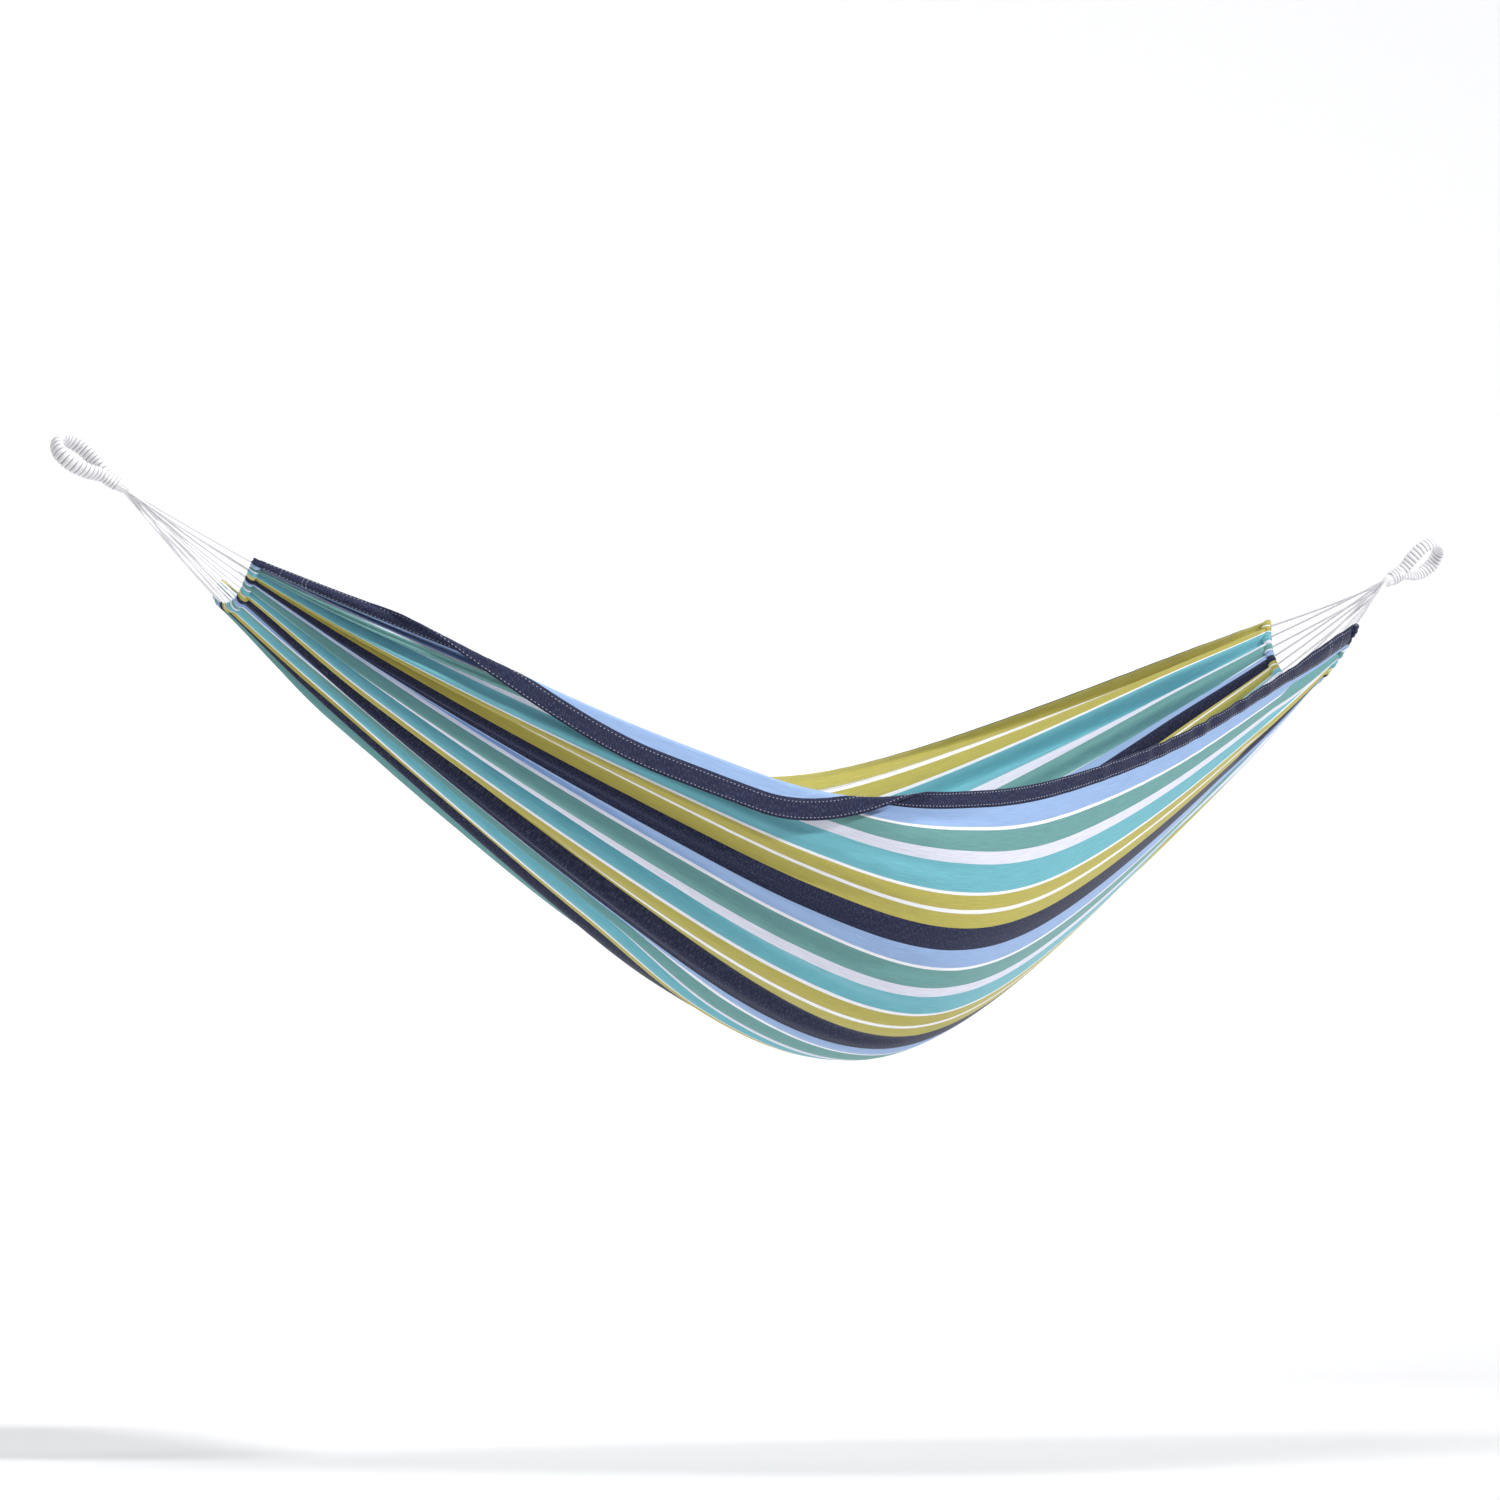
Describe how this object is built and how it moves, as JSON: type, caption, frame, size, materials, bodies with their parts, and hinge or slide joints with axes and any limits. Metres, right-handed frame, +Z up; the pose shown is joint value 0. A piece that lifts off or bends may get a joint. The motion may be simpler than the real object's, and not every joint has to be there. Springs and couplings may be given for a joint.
{
  "type": "cloth hammock",
  "caption": "Striped woven cotton hammock bed with fans of white clew cords gathered into a whipped hanging eye at each end.",
  "frame": {"origin": "the bearing point of the left eye, where its hook carries it", "axes": "+X from the left eye to the right eye, along the line through both hooks; -Y to the near side of the bed; +Z up"},
  "size_m": [2.6012, 1.0339, 0.9869],
  "materials": {
    "striped_cotton": "soft matt woven cotton with lengthwise stripes",
    "hem_cotton": "matt navy woven cotton, turned and stitched",
    "olive_cotton": "matt olive woven cotton, turned and stitched",
    "clew_cord": "soft white twisted cotton cord",
    "whipping_cord": "white cotton cord wound in close turns",
    "hem_rope": "white laid cotton rope"
  },
  "bodies": {
    "left_loop": {"left_loop_core": "clew_cord", "left_loop_whipping": "whipping_cord", "left_neck_whipping": "whipping_cord"},
    "bed": {"bed_cloth": "striped_cotton", "near_side_hem": "hem_cotton", "far_side_hem": "olive_cotton", "left_end_hem": "striped_cotton", "right_end_hem": "striped_cotton", "left_hem_rope": "hem_rope", "right_hem_rope": "hem_rope", "left_clew_01": "clew_cord", "left_clew_02": "clew_cord", "left_clew_03": "clew_cord", "left_clew_04": "clew_cord", "left_clew_05": "clew_cord", "left_clew_06": "clew_cord", "left_clew_07": "clew_cord", "left_clew_08": "clew_cord", "left_clew_09": "clew_cord", "left_clew_10": "clew_cord", "left_clew_11": "clew_cord", "left_clew_12": "clew_cord", "left_clew_13": "clew_cord", "left_clew_14": "clew_cord", "left_clew_15": "clew_cord", "left_clew_16": "clew_cord", "left_clew_17": "clew_cord", "left_clew_18": "clew_cord", "right_clew_01": "clew_cord", "right_clew_02": "clew_cord", "right_clew_03": "clew_cord", "right_clew_04": "clew_cord", "right_clew_05": "clew_cord", "right_clew_06": "clew_cord", "right_clew_07": "clew_cord", "right_clew_08": "clew_cord", "right_clew_09": "clew_cord", "right_clew_10": "clew_cord", "right_clew_11": "clew_cord", "right_clew_12": "clew_cord", "right_clew_13": "clew_cord", "right_clew_14": "clew_cord", "right_clew_15": "clew_cord", "right_clew_16": "clew_cord", "right_clew_17": "clew_cord", "right_clew_18": "clew_cord", "left_cord_gather": "clew_cord", "right_cord_gather": "clew_cord"},
    "right_loop": {"right_loop_core": "clew_cord", "right_loop_whipping": "whipping_cord", "right_neck_whipping": "whipping_cord"}
  },
  "joints": [
    {"name": "swing", "type": "hinge", "parent": "left_loop", "child": "bed", "pos_m": [0.10115, 0, -0.06077], "axis": [1, 0, 0], "range_deg": [-35, 35]},
    {"name": "right_eye_turn", "type": "hinge", "parent": "bed", "child": "right_loop", "pos_m": [2.46885, 0, -0.06077], "axis": [1, 0, 0], "range_deg": [-35, 35]}
  ],
  "couplings": [
    {"joint": "right_eye_turn", "follows": "swing", "ratio": -1}
  ]
}
